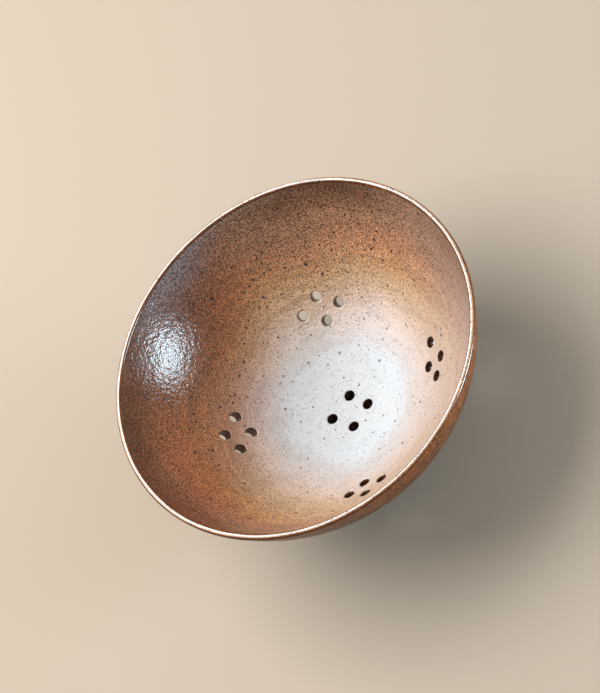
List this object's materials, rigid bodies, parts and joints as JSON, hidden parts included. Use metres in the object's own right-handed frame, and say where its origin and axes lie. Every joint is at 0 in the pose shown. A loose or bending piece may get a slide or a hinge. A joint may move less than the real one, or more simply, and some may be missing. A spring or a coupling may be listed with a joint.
{
  "type": "berry colander bowl",
  "caption": "Round wheel-thrown stoneware bowl on a foot ring, with clusters of drain holes through its wall and floor, glazed inside and out.",
  "frame": {"origin": "centre of the foot ring's standing face, where the bowl rests on the table", "axes": "+Z along the bowl's axis, up and out of its mouth; the four wall clusters of drain holes lie near +X, +Y, -X and -Y"},
  "size_m": [0.18, 0.18, 0.074],
  "materials": {
    "stoneware_clay": "fired stoneware, matte",
    "bare_foot_clay": "bare fired stoneware, matte, slightly toasted",
    "inside_glaze": "satin gloss, brown at the rim breaking to a pale pool, iron specks",
    "lip_glaze": "satin gloss, thin and pale on the lip",
    "outside_glaze": "satin gloss, mottled brown, iron specks",
    "drain_hole_glaze": "gloss, dark brown"
  },
  "bodies": {
    "root": {"clay_bowl": "stoneware_clay", "foot_ring": "bare_foot_clay", "inside_glaze": "inside_glaze", "lip_glaze": "lip_glaze", "outside_glaze": "outside_glaze", "underside_glaze": "outside_glaze", "drain_hole_glaze": "drain_hole_glaze"}
  },
  "joints": []
}
